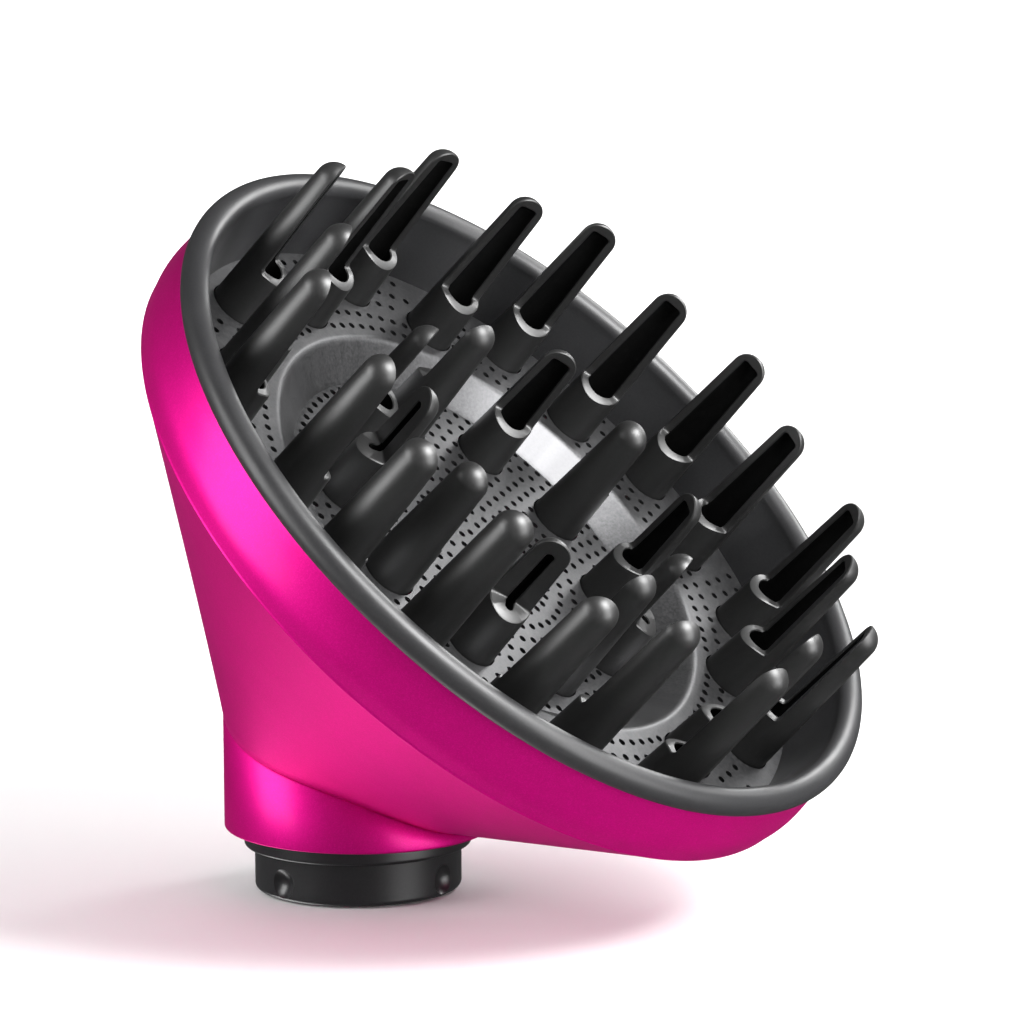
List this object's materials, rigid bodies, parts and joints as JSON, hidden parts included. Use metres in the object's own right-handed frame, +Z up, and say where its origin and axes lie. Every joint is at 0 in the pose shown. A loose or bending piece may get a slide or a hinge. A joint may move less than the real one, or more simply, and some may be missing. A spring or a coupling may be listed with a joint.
{
  "type": "dryer diffuser",
  "caption": "Angled hair-dryer diffuser: push-in swivel collar, tilted round bowl, perforated stepped plate and two circles of hollow slotted fingers.",
  "frame": {"origin": "centre of the coupling collar's lower end, on the neck's axis", "axes": "+Z up the neck's axis into the bowl; +X the way the bowl leans, 45 degrees from +Z; +Y completes the right-handed frame"},
  "size_m": [0.1139, 0.1406, 0.1275],
  "materials": {
    "shell_paint": "satin metallic magenta paint on moulded plastic",
    "dark_grey_plastic": "satin dark grey",
    "finger_plastic": "satin near-black",
    "black_plastic": "satin charcoal",
    "plate_metal": "satin grey, finely perforated",
    "steel": "plain bright",
    "rubber": "matte black"
  },
  "bodies": {
    "collar": {"coupling_collar": "black_plastic", "collar_retaining_ring": "steel", "collar_seal": "rubber"},
    "head": {"outer_shell": "shell_paint", "rim_ring": "dark_grey_plastic", "diffuser_plate": "plate_metal", "outer_finger_01": "finger_plastic", "outer_finger_02": "finger_plastic", "outer_finger_03": "finger_plastic", "outer_finger_04": "finger_plastic", "outer_finger_05": "finger_plastic", "outer_finger_06": "finger_plastic", "outer_finger_07": "finger_plastic", "outer_finger_08": "finger_plastic", "outer_finger_09": "finger_plastic", "outer_finger_10": "finger_plastic", "outer_finger_11": "finger_plastic", "outer_finger_12": "finger_plastic", "outer_finger_13": "finger_plastic", "outer_finger_14": "finger_plastic", "outer_finger_15": "finger_plastic", "outer_finger_16": "finger_plastic", "outer_finger_17": "finger_plastic", "outer_finger_18": "finger_plastic", "outer_finger_19": "finger_plastic", "outer_finger_20": "finger_plastic", "inner_finger_01": "finger_plastic", "inner_finger_02": "finger_plastic", "inner_finger_03": "finger_plastic", "inner_finger_04": "finger_plastic", "inner_finger_05": "finger_plastic", "inner_finger_06": "finger_plastic", "inner_finger_07": "finger_plastic", "inner_finger_08": "finger_plastic", "inner_finger_09": "finger_plastic", "inner_finger_10": "finger_plastic", "outer_finger_retainer": "black_plastic", "inner_finger_retainer": "black_plastic", "plate_gasket": "rubber", "retainer_screw_01": "steel", "retainer_screw_02": "steel", "retainer_screw_03": "steel", "retainer_screw_04": "steel", "retainer_screw_05": "steel", "retainer_screw_06": "steel", "retainer_screw_07": "steel", "retainer_screw_08": "steel", "retainer_screw_09": "steel", "retainer_screw_10": "steel"}
  },
  "joints": [
    {"name": "collar_swivel", "type": "hinge", "parent": "collar", "child": "head", "pos_m": [0, 0, 0.012], "axis": [0, 0, 1], "continuous": true}
  ]
}
